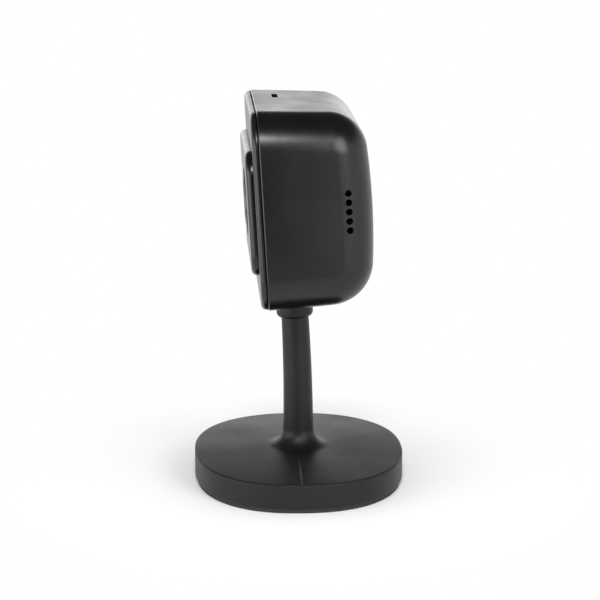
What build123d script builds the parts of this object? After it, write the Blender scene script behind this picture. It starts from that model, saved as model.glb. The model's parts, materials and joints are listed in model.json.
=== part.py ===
from build123d import *
import math
import os

# Small desk camera on a bendable neck. Millimetres, +Z up, the lens looks along -Y.
# The origin is the middle of the foot, on the table.

# Clearances
SEAT = 0.1            # between pieces that are seated in one another
FIT = 0.05            # round a shaft in its hole
SEAM = 0.35           # shadow line between the front bezel and the housing

# Foot
BASE_WIDTH = 62.0     # along X
BASE_DEPTH = 54.0     # along Y
BASE_POWER = 2.27     # oval outline: 2 is an ellipse, more is squarer
OVAL_POINTS = 32      # points that the outline is drawn through
BASE_HEIGHT = 7.5
BASE_CROWN = 1.2      # how far the top rises from the edge to the neck
BASE_EDGE = 0.5       # rounding of the skin's upper edge
SKIN_WALL = 2.0
SKIN_ROOF = 1.8
FLARE = 4.4           # rounding where the neck grows out of the foot
FLARE_TOP = 13.2      # height where the bendable neck begins
PAD_HEIGHT = 1.2
PAD_INSET = 0.5

# Neck
NECK_LENGTH = 29.8    # along its bent line, up to the collar
NECK_TURN = 3.2       # degrees that it leans forward at the collar
NECK_JOINTS = 8
NECK_FOOT_RADIUS = 3.9
NECK_TOP_RADIUS = 3.5
CORE_RADIUS = 2.6     # links inside the sleeve
BALL_RADIUS = 1.5
BALL_PLAY = 0.1
STEM_RADIUS = 0.9     # thin part under each ball
SOCKET_LIP = 0.8      # how far a socket reaches past its ball's middle
LINK_GAP = 0.74       # room between one link's lip and the next link's shoulder
SLEEVE_PLAY = 0.15
FERRULE_FLANGE_RADIUS = 4.5
FERRULE_FLANGE = 1.0

# Collar and the fixing of the neck in the head
COLLAR_RADIUS = 4.7
COLLAR_HEIGHT = 5.2
COLLAR_EDGE = 1.2
SHOULDER_RADIUS = 3.3
THREAD_RADIUS = 2.2
NUT_WIDTH = 7.0       # across flats
NUT_HEIGHT = 2.4
THREAD_SPARE = 1.0    # thread that shows past the nut
SETBACK = 7.35        # neck axis behind the housing's rim
COLLAR_DROP = 6.75    # collar's foot below the housing's lower edge
BOSS_RADIUS = 4.2
BOSS_DROP = 0.5       # boss face below the rim's lower edge
INNER_BOSS_RADIUS = 5.2

# Head housing
HEAD_WIDTH = 56.0
HEAD_HEIGHT = 49.6
HEAD_ROUND = 9.0      # rounding of the corners and down the back's two sides
TOP_ROUND = 9.8       # rounding along the back's upper edge
LOW_ROUND = 11.0      # rounding along the back's lower edge
HEAD_DEPTH = 27.2
SIDE_DRAW = 2.3       # how far each bowed side comes in by the back
TOP_DRAW = 2.0        # how far the top slopes down by the back
LOW_DRAW = 0.3        # how far the underside slopes up by the back
BACK_CROWN = 170.0    # radius of the gently bowed back
WALL = 1.8
RIM_EDGE = 0.25       # bevel round the rim
RIM_TAPER = -45.0     # degrees

# Front
BEZEL_INSET = 0.3
BEZEL_PROUD = 1.65
BEZEL_EDGE = 1.2
SKIRT_DEPTH = 2.0
SKIRT_WALL = 1.2
PANEL_WIDTH = 46.0
PANEL_HEIGHT = 31.0
PANEL_CORNER = 6.0
PANEL_PROUD = 1.8
PANEL_SUNK = 0.2
PANEL_EDGE = 1.4
LENS_DROP = 0.7       # lens and panel middle below the head's middle
RING_RADIUS = 9.0
RING_BORE = 6.6
RING_PROUD = 0.3
RING_EDGE = 0.4
GLASS_THICKNESS = 1.2
GLASS_DOME = 20.0
GLASS_SUNK = 0.4

# Holes in the housing
VENT_COUNT = 5
VENT_RADIUS = 0.85
VENT_PITCH = 2.3
VENT_BACK = 20.8      # side vents behind the rim
VENT_DROP = 0.1
SOUND_RADIUS = 0.7
SOUND_PITCH = 1.9
SOUND_RISE = 8.3      # middle of the sound holes above the head's middle
PORT_WIDTH = 8.4
PORT_HEIGHT = 3.2
PORT_CORNER = 1.0
PORT_DROP = 4.7
RESET_RADIUS = 0.9
RESET_DROP = 0.3
RESET_TRAVEL = 0.5
RESET_SUNK = 0.4
LAMP_RADIUS = 0.7
LAMP_DROP = 13.7
SLOT_WIDTH = 6.2
SLOT_LENGTH = 1.5
SLOT_SIDE = -8.3
SLOT_BACK = 5.7

# Boards
BOARD_WIDTH = 40.0
BOARD_HEIGHT = 32.0
BOARD_THICKNESS = 1.2
BOARD_BACK = 10.9     # board's face behind the rim
LED_BOARD_WIDTH = 40.0
LED_BOARD_HEIGHT = 18.0
LED_BOARD_THICKNESS = 1.0
LED_BOARD_BACK = 1.9
POST_RADIUS = 2.0
POST_SIDE = 17.5
POST_RISE = 13.5
LED_POST_SIDE = 17.0
SCREW_RADIUS = 0.8
SCREW_HEAD_RADIUS = 1.6
SCREW_HEAD = 1.0
SCREW_GRIP = 4.0      # thread inside a post
IO_WIDTH = 20.0
IO_TOP = 1.6
IO_BOTTOM = -18.5
IO_ROOM = 7.2         # rear board's front face ahead of the housing's outer back
IO_POST_SIDE = 7.5
IO_POST_DROP = 9.5
LED_RADIUS = 1.5
LED_BODY = 1.6
LED_SIDE = 13.0
LED_RISE = 5.0
SENSOR_SIZE = 2.0
SENSOR_HEIGHT = 0.8
SENSOR_SIDE = 10.3    # day and night sensor, beside the lens ring

# Camera module
BARREL_RADIUS = 6.0
BARREL_BORE = 4.6
BARREL_LENGTH = 9.0
HOLDER_SIZE = 15.0
HOLDER_HEIGHT = 5.5
HOLDER_ROOF = 2.0
CHIP_SIZE = 7.0
CHIP_HEIGHT = 0.9
REAR_ELEMENT = 1.4

# Other electronics
CAN_WIDTH = 18.0
CAN_HEIGHT = 14.0
CAN_DEPTH = 2.4
CAN_SIDE = -8.0
RADIO_WIDTH = 12.0
RADIO_HEIGHT = 16.0
RADIO_DEPTH = 2.2
RADIO_SIDE = 12.0
SOCKET_WIDTH = 7.5
SOCKET_HEIGHT = 2.6
SOCKET_CORNER = 0.85
SOCKET_WALL = 0.35
TONGUE_WIDTH = 3.4
TONGUE_HEIGHT = 0.8
SWITCH_WIDTH = 4.0
SWITCH_DEPTH = 2.0
SWITCH_HEIGHT = 1.6
SPEAKER_WIDTH = 15.0
SPEAKER_HEIGHT = 11.0
SPEAKER_DEPTH = 3.6
CONE_MOUTH = 4.2
CONE_THROAT = 2.1
CONE_DEPTH = 1.8
GASKET_WALL = 1.2
GASKET_DEPTH = 2.0    # at the middle of the back wall
MIC_RADIUS = 2.2
MIC_HEIGHT = 1.8
BOOT_WALL = 0.8
PIPE_HEAD = 1.2
PIPE_HEAD_RADIUS = 1.4
OVERLAP = 1.0         # how far a cutting body runs past a face


def neck_frame(run):
    """Place and lean of the neck's bent line at a distance from its foot."""
    turn = math.radians(NECK_TURN)
    radius = NECK_LENGTH / turn
    angle = turn * run / NECK_LENGTH
    back = -radius * (1 - math.cos(angle))
    height = FLARE_TOP + radius * math.sin(angle)
    return Location((0, back, height), (math.degrees(angle), 0, 0))


HEAD_RISE = COLLAR_DROP + HEAD_HEIGHT / 2
# The head is drawn face on: x to the right, y up, z out towards the viewer, z = 0 at the rim.
FACE = neck_frame(NECK_LENGTH) * Pos(0, -SETBACK, HEAD_RISE) * Rot(X=90)
PITCH = NECK_LENGTH / NECK_JOINTS
PANEL_FACE = BEZEL_PROUD + PANEL_PROUD
PANEL_BACK = BEZEL_PROUD - PANEL_SUNK
RING_FACE = PANEL_FACE + RING_PROUD
CORE_BORE = CORE_RADIUS + SLEEVE_PLAY
COLLAR_FOOT = -HEAD_RISE
BACK_MIDDLE = (LOW_DRAW - TOP_DRAW) / 2
COLLAR_TOP = COLLAR_FOOT + COLLAR_HEIGHT
BOSS_FACE = -HEAD_HEIGHT / 2 - BOSS_DROP
IO_BACK = HEAD_DEPTH - IO_ROOM
TOP_SLOPE = TOP_DRAW / HEAD_DEPTH
LOW_SLOPE = LOW_DRAW / HEAD_DEPTH
NUT_SEAT = -HEAD_HEIGHT / 2 + WALL + (SETBACK + INNER_BOSS_RADIUS) * LOW_SLOPE + SEAT


def oval(inset):
    """Foot outline, drawn in all round by an inset."""
    half_x = BASE_WIDTH / 2 - inset
    half_y = BASE_DEPTH / 2 - inset
    points = []
    for step in range(OVAL_POINTS):
        turn = 2 * math.pi * step / OVAL_POINTS
        side = math.cos(turn)
        depth = math.sin(turn)
        x = half_x * math.copysign(abs(side) ** (2 / BASE_POWER), side)
        y = half_y * math.copysign(abs(depth) ** (2 / BASE_POWER), depth)
        points.append((x, y))
    return make_face(Spline(*points, periodic=True))


def slab(face, low, high):
    """A flat outline raised from one height to another."""
    return extrude(Pos(0, 0, low) * face, high - low)


def rod(radius, low, high):
    """An upright round bar between two heights."""
    return Pos(0, 0, low) * Cylinder(radius, high - low, align=(Align.CENTER, Align.CENTER, Align.MIN))


def block(width, height, low, high):
    """An upright square bar between two heights."""
    return Pos(0, 0, low) * Box(width, height, high - low, align=(Align.CENTER, Align.CENTER, Align.MIN))


def base_skin():
    """Moulded skin of the foot with the root of the neck on it."""
    peak = BASE_HEIGHT + BASE_CROWN
    crown = (BASE_WIDTH / 2) ** 2 / (2 * BASE_CROWN)
    plate = slab(oval(0), PAD_HEIGHT, peak + OVERLAP) & Pos(0, 0, peak - crown) * Rot(X=90) * Sphere(crown)
    plate = fillet(plate.faces().sort_by(Axis.Z)[-1].edges(), BASE_EDGE)
    root = rod(NECK_FOOT_RADIUS, BASE_HEIGHT, FLARE_TOP)
    body = plate + root
    body = fillet(body.edges().filter_by(GeomType.CIRCLE).sort_by(Axis.Z)[0], FLARE)
    body -= slab(oval(SKIN_WALL), PAD_HEIGHT - OVERLAP, BASE_HEIGHT - SKIN_ROOF)
    return body - rod(CORE_BORE, 0, FLARE_TOP + OVERLAP)


def base_weight():
    """Steel plate that keeps the foot down."""
    plate = slab(oval(SKIN_WALL + SEAT), PAD_HEIGHT + SEAT, BASE_HEIGHT - SKIN_ROOF - SEAT)
    plate -= rod(CORE_RADIUS + FIT, 0, BASE_HEIGHT)
    return plate - rod(FERRULE_FLANGE_RADIUS + SEAT, 0, PAD_HEIGHT + FERRULE_FLANGE + SEAT)


def base_pad():
    """Soft pad under the foot."""
    pad = slab(oval(PAD_INSET), 0, PAD_HEIGHT)
    return fillet(pad.faces().sort_by(Axis.Z)[0].edges(), PAD_INSET / 2)


def ball_top(shoulder):
    """Thin stem and ball on top of a link, over a shoulder below the next joint."""
    joint = PITCH / 2
    return rod(STEM_RADIUS, shoulder - SEAT, joint) + Pos(0, 0, joint) * Sphere(BALL_RADIUS)


def shoulder_height():
    """Link's shoulder, measured from the middle of the link."""
    return PITCH / 2 - SOCKET_LIP - LINK_GAP


def socket_cut():
    """Round hollow that takes the ball of the link below."""
    return Pos(0, 0, -PITCH / 2) * Sphere(BALL_RADIUS + BALL_PLAY)


def foot_ferrule():
    """Riveted steel root of the bendable core, standing in the weight."""
    drop = FLARE_TOP - PAD_HEIGHT - SEAT
    bar = rod(CORE_RADIUS, -drop, shoulder_height())
    flange = rod(FERRULE_FLANGE_RADIUS, -drop, -drop + FERRULE_FLANGE)
    return neck_frame(0) * (bar + flange + ball_top(shoulder_height()))


def neck_link(number):
    """One ball and socket link of the bendable core."""
    body = rod(CORE_RADIUS, -PITCH / 2 - SOCKET_LIP, shoulder_height()) - socket_cut()
    return neck_frame(number * PITCH) * (body + ball_top(shoulder_height()))


def sleeve_tube(foot_radius, top_radius):
    """Tapering tube body along the bent line."""
    stations = [NECK_LENGTH * step / NECK_JOINTS for step in range(NECK_JOINTS + 1)]
    rings = []
    for run in stations:
        radius = foot_radius + (top_radius - foot_radius) * run / NECK_LENGTH
        rings.append(neck_frame(run) * Circle(radius))
    return loft(rings)


def neck_sleeve():
    """Soft skin over the bendable core."""
    return sleeve_tube(NECK_FOOT_RADIUS, NECK_TOP_RADIUS) - sleeve_tube(CORE_BORE, CORE_BORE)


def on_stem(shape):
    """Stand a shape, drawn upright about the neck's axis, into the face-on frame."""
    return Pos(0, 0, -SETBACK) * Rot(X=-90) * shape


def neck_collar():
    """Rounded ring at the top of the neck."""
    ring = rod(COLLAR_RADIUS, COLLAR_FOOT, COLLAR_TOP)
    ring = fillet(ring.edges().filter_by(GeomType.CIRCLE).sort_by(Axis.Z)[0], COLLAR_EDGE)
    return on_stem(ring - rod(CORE_BORE, COLLAR_FOOT - OVERLAP, COLLAR_TOP + OVERLAP))


def top_ferrule():
    """Steel end of the core: last socket, shoulder under the head and thread through its wall."""
    lip = COLLAR_FOOT - PITCH / 2 - SOCKET_LIP
    bar = rod(CORE_RADIUS, lip, COLLAR_TOP)
    bar += rod(SHOULDER_RADIUS, COLLAR_TOP, BOSS_FACE)
    bar += rod(THREAD_RADIUS, BOSS_FACE, NUT_SEAT + NUT_HEIGHT + THREAD_SPARE)
    return on_stem(bar - Pos(0, 0, COLLAR_FOOT) * socket_cut())


def lock_nut():
    """Nut that draws the shoulder up against the housing."""
    outline = RegularPolygon(NUT_WIDTH / 2, 6, major_radius=False) - Circle(THREAD_RADIUS + FIT)
    return on_stem(slab(outline, NUT_SEAT, NUT_SEAT + NUT_HEIGHT))


def back_sag(inset, height):
    """How far the bowed back has come forward at a height."""
    crown = BACK_CROWN - inset
    return crown - math.sqrt(crown ** 2 - (height - BACK_MIDDLE) ** 2)


def side_view(inset):
    """Outline of the head from the side: x is the depth behind the rim, y the height."""
    depth = HEAD_DEPTH - inset
    top = HEAD_HEIGHT / 2 - inset
    back_top = top - TOP_DRAW
    back_low = -top + LOW_DRAW
    high = (depth - back_sag(inset, back_top), back_top)
    low = (depth - back_sag(inset, back_low), back_low)
    lines = [Line((0, -top), (0, top)), Line((0, top), high), Line(low, (0, -top))]
    return make_face(lines + [ThreePointArc(high, (depth, BACK_MIDDLE), low)])


def plan_view(inset):
    """Outline of the head from above, with its bowed sides run past the back: y is the depth."""
    rim = HEAD_WIDTH / 2 - inset
    end = HEAD_DEPTH + OVERLAP
    draw = SIDE_DRAW * (end / HEAD_DEPTH) ** 2
    right = ThreePointArc((rim, 0), (rim - draw / 4, end / 2), (rim - draw, end))
    left = ThreePointArc((draw - rim, end), (draw / 4 - rim, end / 2), (-rim, 0))
    return make_face([Line((-rim, 0), (rim, 0)), right, Line((rim - draw, end), (draw - rim, end)), left])


def head_block(inset):
    """Solid form of the head behind the rim, drawn in all round by an inset."""
    from_side = Plane(origin=(0, 0, 0), x_dir=(0, 0, 1), z_dir=(-1, 0, 0))
    from_above = Plane(origin=(0, 0, 0), x_dir=(1, 0, 0), z_dir=(0, -1, 0))
    body = extrude(from_side * side_view(inset), HEAD_WIDTH / 2 + OVERLAP, both=True)
    body &= extrude(from_above * plan_view(inset), HEAD_HEIGHT / 2 + OVERLAP, both=True)
    back = body.faces().sort_by(Axis.Z)[-1]
    body = fillet(back.edges().sort_by(Axis.Y)[-1], TOP_ROUND - inset)
    back = body.faces().sort_by(Axis.Z)[-1]
    body = fillet(back.edges().sort_by(Axis.Y)[0], LOW_ROUND - inset)
    rim = body.faces().sort_by(Axis.Z)[0].edges()
    sides = body.faces().sort_by(Axis.X)
    corners = [edge for edge in sides[0].edges() + sides[-1].edges() if edge not in rim]
    return Rot(Y=180) * fillet(corners, HEAD_ROUND - inset)


def vent_row(pitch, middle):
    """Heights of a row of round holes."""
    return [middle + pitch * (step - (VENT_COUNT - 1) / 2) for step in range(VENT_COUNT)]


def housing_holes():
    """Everything that is cut through the housing's walls."""
    cuts = []
    for height in vent_row(VENT_PITCH, -VENT_DROP):
        cuts.append(Pos(0, height, -VENT_BACK) * Rot(Y=90) * Cylinder(VENT_RADIUS, HEAD_WIDTH + OVERLAP))
    through = HEAD_DEPTH - IO_BACK + OVERLAP
    for height in vent_row(SOUND_PITCH, SOUND_RISE):
        cuts.append(Pos(0, height, -HEAD_DEPTH) * Cylinder(SOUND_RADIUS, through))
    port = RectangleRounded(PORT_WIDTH, PORT_HEIGHT, PORT_CORNER)
    cuts.append(Pos(0, -PORT_DROP, 0) * slab(port, -HEAD_DEPTH - OVERLAP, -IO_BACK))
    cuts.append(Pos(0, -RESET_DROP, -HEAD_DEPTH) * Cylinder(RESET_RADIUS + 2 * FIT, through))
    cuts.append(Pos(0, -LAMP_DROP, -HEAD_DEPTH) * Cylinder(LAMP_RADIUS + FIT, through))
    slot = Box(SLOT_WIDTH, 2 * WALL + OVERLAP, SLOT_LENGTH)
    cuts.append(Pos(SLOT_SIDE, HEAD_HEIGHT / 2, -SLOT_BACK) * slot)
    return cuts


def rear_housing():
    """Deep moulded shell of the head."""
    edge = RectangleRounded(HEAD_WIDTH - 2 * RIM_EDGE, HEAD_HEIGHT - 2 * RIM_EDGE, HEAD_ROUND - RIM_EDGE)
    shell = head_block(0) & Rot(Y=180) * extrude(edge, HEAD_DEPTH + OVERLAP, taper=RIM_TAPER)
    shell -= head_block(WALL)
    inside = head_block(WALL / 2)
    boss = on_stem(rod(BOSS_RADIUS, BOSS_FACE, -HEAD_HEIGHT / 2 + WALL))
    pad = on_stem(rod(INNER_BOSS_RADIUS, -HEAD_HEIGHT / 2 - WALL, NUT_SEAT)) & inside
    shell += boss
    shell += pad
    shell -= on_stem(rod(THREAD_RADIUS + FIT, BOSS_FACE - OVERLAP, NUT_SEAT + OVERLAP))
    for side in (-IO_POST_SIDE, IO_POST_SIDE):
        post = Pos(side, -IO_POST_DROP, 0) * rod(POST_RADIUS, -HEAD_DEPTH, -IO_BACK - BOARD_THICKNESS)
        shell += post & inside
    for cut in housing_holes() + io_screw_holes():
        shell -= cut
    return shell


def io_screw_holes():
    """Screw holes in the rear board's posts."""
    face = -IO_BACK - BOARD_THICKNESS
    hole = rod(SCREW_RADIUS + FIT, face - SCREW_GRIP - SEAT, face + OVERLAP)
    return [Pos(side, -IO_POST_DROP, 0) * hole for side in (-IO_POST_SIDE, IO_POST_SIDE)]


def post_places():
    """Main board's posts, on the back of the bezel."""
    return [(x, y) for x in (-POST_SIDE, POST_SIDE) for y in (-POST_RISE, POST_RISE)]


def led_places():
    """Infrared lamps, beside the lens."""
    return [(x, y - LENS_DROP) for x in (-LED_SIDE, LED_SIDE) for y in (-LED_RISE, LED_RISE)]


def led_post_places():
    """Lamp board's posts, level with the lens."""
    return [(x, -LENS_DROP) for x in (-LED_POST_SIDE, LED_POST_SIDE)]


def front_bezel():
    """Frame of the front with its skirt, posts and openings."""
    width = HEAD_WIDTH - 2 * BEZEL_INSET
    height = HEAD_HEIGHT - 2 * BEZEL_INSET
    plate = slab(RectangleRounded(width, height, HEAD_ROUND - BEZEL_INSET), SEAM, BEZEL_PROUD)
    plate = fillet(plate.faces().sort_by(Axis.Z)[-1].edges(), BEZEL_EDGE)
    inset = WALL + SKIRT_DEPTH * TOP_SLOPE + SEAT
    outer = RectangleRounded(HEAD_WIDTH - 2 * inset, HEAD_HEIGHT - 2 * inset, HEAD_ROUND - inset)
    hollow = inset + SKIRT_WALL
    inner = RectangleRounded(HEAD_WIDTH - 2 * hollow, HEAD_HEIGHT - 2 * hollow, HEAD_ROUND - hollow)
    plate += slab(outer - inner, -SKIRT_DEPTH, SEAM)
    long_hole = rod(SCREW_RADIUS + FIT, -BOARD_BACK - OVERLAP, -BOARD_BACK + SCREW_GRIP + SEAT)
    for x, y in post_places():
        plate += Pos(x, y, 0) * rod(POST_RADIUS, -BOARD_BACK, SEAM)
        plate -= Pos(x, y, 0) * long_hole
    short_hole = rod(SCREW_RADIUS + FIT, -LED_BOARD_BACK - OVERLAP, SEAM)
    for x, y in led_post_places():
        plate += Pos(x, y, 0) * rod(POST_RADIUS, -LED_BOARD_BACK, SEAM)
        plate -= Pos(x, y, 0) * short_hole
    recess = RectangleRounded(PANEL_WIDTH + 2 * SEAT, PANEL_HEIGHT + 2 * SEAT, PANEL_CORNER + SEAT)
    plate -= Pos(0, -LENS_DROP, 0) * slab(recess, PANEL_BACK, BEZEL_PROUD + OVERLAP)
    plate -= Pos(0, -LENS_DROP, 0) * rod(BARREL_RADIUS + 3 * SEAT, -OVERLAP, BEZEL_PROUD)
    for x, y in led_places():
        plate -= Pos(x, y, 0) * rod(LED_RADIUS + 2 * SEAT, -OVERLAP, BEZEL_PROUD)
    return plate - Pos(SENSOR_SIDE, -LENS_DROP, 0) * rod(SENSOR_SIZE / 2, -OVERLAP, BEZEL_PROUD)


def lens_panel():
    """Dark glossy window round the lens."""
    outline = RectangleRounded(PANEL_WIDTH, PANEL_HEIGHT, PANEL_CORNER)
    panel = slab(outline, PANEL_BACK, PANEL_FACE)
    panel = fillet(panel.faces().sort_by(Axis.Z)[-1].edges(), PANEL_EDGE)
    return Pos(0, -LENS_DROP, 0) * (panel - rod(RING_RADIUS + SEAT, 0, PANEL_FACE + OVERLAP))


def lens_ring():
    """Trim ring round the lens window."""
    ring = rod(RING_RADIUS, PANEL_BACK, RING_FACE) - rod(RING_BORE, 0, RING_FACE + OVERLAP)
    front = ring.faces().sort_by(Axis.Z)[-1]
    return Pos(0, -LENS_DROP, 0) * fillet(front.edges(), RING_EDGE)


def lens_glass():
    """Slightly domed cover glass in the ring."""
    face = RING_FACE - GLASS_SUNK
    disc = rod(RING_BORE - FIT, face - GLASS_THICKNESS, face)
    disc &= Pos(0, 0, face - GLASS_DOME) * Sphere(GLASS_DOME)
    return Pos(0, -LENS_DROP, 0) * disc


def barrel_front():
    """Front face of the lens barrel, just behind the cover glass."""
    return PANEL_BACK - SEAT


def lens_barrel():
    """Threaded lens tube."""
    face = barrel_front()
    tube = rod(BARREL_RADIUS, face - BARREL_LENGTH, face)
    tube -= rod(BARREL_BORE, face - BARREL_LENGTH - OVERLAP, face + OVERLAP)
    return Pos(0, -LENS_DROP, 0) * tube


def lens_elements():
    """Front and rear glass of the lens."""
    face = barrel_front() - SEAT
    front = rod(BARREL_BORE - FIT, face - 2 * REAR_ELEMENT, face)
    front &= Pos(0, 0, face - BARREL_RADIUS) * Sphere(BARREL_RADIUS)
    rear = rod(BARREL_BORE - FIT, face - BARREL_LENGTH + SEAT, face - BARREL_LENGTH + SEAT + REAR_ELEMENT)
    return [Pos(0, -LENS_DROP, 0) * front, Pos(0, -LENS_DROP, 0) * rear]


def lens_holder():
    """Square mount that carries the lens on the board."""
    seat = -BOARD_BACK
    body = block(HOLDER_SIZE, HOLDER_SIZE, seat, seat + HOLDER_HEIGHT)
    body -= rod(BARREL_RADIUS + FIT, barrel_front() - BARREL_LENGTH, seat + HOLDER_HEIGHT + OVERLAP)
    hollow = HOLDER_SIZE - 2 * HOLDER_ROOF
    body -= block(hollow, hollow, seat - OVERLAP, barrel_front() - BARREL_LENGTH)
    return Pos(0, -LENS_DROP, 0) * body


def image_sensor():
    """Sensor chip under the lens."""
    return Pos(0, -LENS_DROP, 0) * block(CHIP_SIZE, CHIP_SIZE, -BOARD_BACK, -BOARD_BACK + CHIP_HEIGHT)


def main_board():
    """Circuit board behind the lens."""
    back = -BOARD_BACK - BOARD_THICKNESS
    board = slab(RectangleRounded(BOARD_WIDTH, BOARD_HEIGHT, POST_RADIUS), back, -BOARD_BACK)
    for x, y in post_places():
        board -= Pos(x, y, 0) * rod(SCREW_RADIUS + FIT, back - OVERLAP, -BOARD_BACK + OVERLAP)
    return board


def screw(face, grip):
    """Pan-head screw whose head sits behind a face and whose shank runs forward."""
    shank = rod(SCREW_RADIUS, face - SCREW_HEAD / 2, face + grip)
    return shank + rod(SCREW_HEAD_RADIUS, face - SCREW_HEAD, face)


def board_screws():
    """Screws of the main board."""
    face = -BOARD_BACK - BOARD_THICKNESS
    return [Pos(x, y, 0) * screw(face, BOARD_THICKNESS + SCREW_GRIP) for x, y in post_places()]


def led_board():
    """Board of the infrared lamps, with a window for the lens barrel."""
    back = -LED_BOARD_BACK - LED_BOARD_THICKNESS
    board = slab(RectangleRounded(LED_BOARD_WIDTH, LED_BOARD_HEIGHT, POST_RADIUS), back, -LED_BOARD_BACK)
    board = Pos(0, -LENS_DROP, 0) * (board - rod(BARREL_RADIUS + OVERLAP, back - OVERLAP, OVERLAP))
    for x, y in led_post_places():
        board -= Pos(x, y, 0) * rod(SCREW_RADIUS + FIT, back - OVERLAP, OVERLAP)
    return board


def led_screws():
    """Screws of the lamp board."""
    face = -LED_BOARD_BACK - LED_BOARD_THICKNESS
    grip = LED_BOARD_THICKNESS + LED_BOARD_BACK
    return [Pos(x, y, 0) * screw(face, grip) for x, y in led_post_places()]


def ir_leds():
    """Infrared lamps on the lamp board."""
    top = -LED_BOARD_BACK + LED_BODY
    lamp = rod(LED_RADIUS, -LED_BOARD_BACK, top) + Pos(0, 0, top) * Sphere(LED_RADIUS)
    return [Pos(x, y, 0) * lamp for x, y in led_places()]


def light_sensor():
    """Day and night sensor on the lamp board."""
    place = Pos(SENSOR_SIDE, -LENS_DROP, 0)
    return place * block(SENSOR_SIZE, SENSOR_SIZE, -LED_BOARD_BACK, -LED_BOARD_BACK + SENSOR_HEIGHT)


def processor_can():
    """Shield over the processor on the back of the main board."""
    face = -BOARD_BACK - BOARD_THICKNESS
    can = block(CAN_WIDTH, CAN_HEIGHT, face - CAN_DEPTH, face)
    can = fillet(can.faces().sort_by(Axis.Z)[0].edges(), SOCKET_WALL)
    return Pos(CAN_SIDE, 0, 0) * can


def wifi_module():
    """Radio module beside the processor."""
    face = -BOARD_BACK - BOARD_THICKNESS
    return Pos(RADIO_SIDE, 0, 0) * block(RADIO_WIDTH, RADIO_HEIGHT, face - RADIO_DEPTH, face)


def io_board():
    """Rear board with the power socket and the reset switch."""
    back = -IO_BACK - BOARD_THICKNESS
    board = slab(RectangleRounded(IO_WIDTH, IO_TOP - IO_BOTTOM, POST_RADIUS), back, -IO_BACK)
    board = Pos(0, (IO_TOP + IO_BOTTOM) / 2, 0) * board
    for side in (-IO_POST_SIDE, IO_POST_SIDE):
        board -= Pos(side, -IO_POST_DROP, 0) * rod(SCREW_RADIUS + FIT, back - OVERLAP, -IO_BACK + OVERLAP)
    return board


def io_screws():
    """Screws of the rear board, driven from the front."""
    turned = Rot(Y=180) * screw(IO_BACK, BOARD_THICKNESS + SCREW_GRIP)
    return [Pos(side, -IO_POST_DROP, 0) * turned for side in (-IO_POST_SIDE, IO_POST_SIDE)]


def inner_back(height):
    """Depth of the housing's bowed inner back wall at a height."""
    return -(HEAD_DEPTH - WALL - back_sag(WALL, height))


def usb_socket():
    """Power socket that faces the port in the back."""
    board = -IO_BACK - BOARD_THICKNESS
    mouth = inner_back(-PORT_DROP - PORT_HEIGHT / 2) + SEAT
    outline = RectangleRounded(SOCKET_WIDTH, SOCKET_HEIGHT, SOCKET_CORNER)
    hollow_width = SOCKET_WIDTH - 2 * SOCKET_WALL
    hollow_height = SOCKET_HEIGHT - 2 * SOCKET_WALL
    hollow = RectangleRounded(hollow_width, hollow_height, SOCKET_CORNER - SOCKET_WALL)
    shell = slab(outline, mouth, board) - slab(hollow, mouth - OVERLAP, board - SOCKET_WALL)
    tongue = block(TONGUE_WIDTH, TONGUE_HEIGHT, mouth + OVERLAP, board - SOCKET_WALL / 2)
    return Pos(0, -PORT_DROP, 0) * (shell + tongue)


def switch_face():
    """Depth of the reset switch's plunger side."""
    return -IO_BACK - BOARD_THICKNESS - SWITCH_HEIGHT


def reset_switch():
    """Small push switch behind the reset button."""
    body = block(SWITCH_WIDTH, SWITCH_DEPTH, switch_face(), switch_face() + SWITCH_HEIGHT)
    return Pos(0, -RESET_DROP, 0) * body


def reset_button():
    """Sunken button in the back, pressed with a pin."""
    outside = -HEAD_DEPTH + RESET_SUNK
    inside = switch_face() - RESET_TRAVEL - SEAT
    stop = inner_back(-RESET_DROP - RESET_RADIUS - BOOT_WALL) + SEAT
    pin = rod(RESET_RADIUS, outside, inside)
    return Pos(0, -RESET_DROP, 0) * (pin + rod(RESET_RADIUS + BOOT_WALL, stop, stop + BOOT_WALL))


def status_pipe():
    """Clear light pipe of the status lamp in the back."""
    wall = inner_back(-LAMP_DROP)
    pipe = rod(LAMP_RADIUS, wall - WALL / 2, wall + PIPE_HEAD)
    head = rod(PIPE_HEAD_RADIUS, wall + 3 * SEAT, -IO_BACK - BOARD_THICKNESS - SEAT)
    return Pos(0, -LAMP_DROP, 0) * (pipe + head)


def speaker_seat():
    """Depth of the speaker's back, on the gasket."""
    return inner_back(BACK_MIDDLE) + GASKET_DEPTH


def speaker_gasket():
    """Foam frame that fills the room between the speaker and the bowed back wall."""
    outer = Rectangle(SPEAKER_WIDTH, SPEAKER_HEIGHT)
    inner = Rectangle(SPEAKER_WIDTH - 2 * GASKET_WALL, SPEAKER_HEIGHT - 2 * GASKET_WALL)
    frame = Pos(0, SOUND_RISE, 0) * slab(outer - inner, -HEAD_DEPTH, speaker_seat() - SEAT)
    return Pos(0, 0, SEAT) * (frame & head_block(WALL))


def speaker():
    """Flat speaker with its cone behind the sound holes."""
    back = speaker_seat()
    frame = slab(RectangleRounded(SPEAKER_WIDTH, SPEAKER_HEIGHT, GASKET_WALL), back, back + SPEAKER_DEPTH)
    cone = Pos(0, 0, back + CONE_DEPTH / 2) * Cone(CONE_MOUTH, CONE_THROAT, CONE_DEPTH)
    return Pos(0, SOUND_RISE, 0) * (frame - cone)


def roof_height():
    """Inner face of the housing's top wall over the microphone."""
    behind = SLOT_BACK + MIC_RADIUS + BOOT_WALL
    return HEAD_HEIGHT / 2 - WALL - behind * TOP_SLOPE - SEAT


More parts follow.
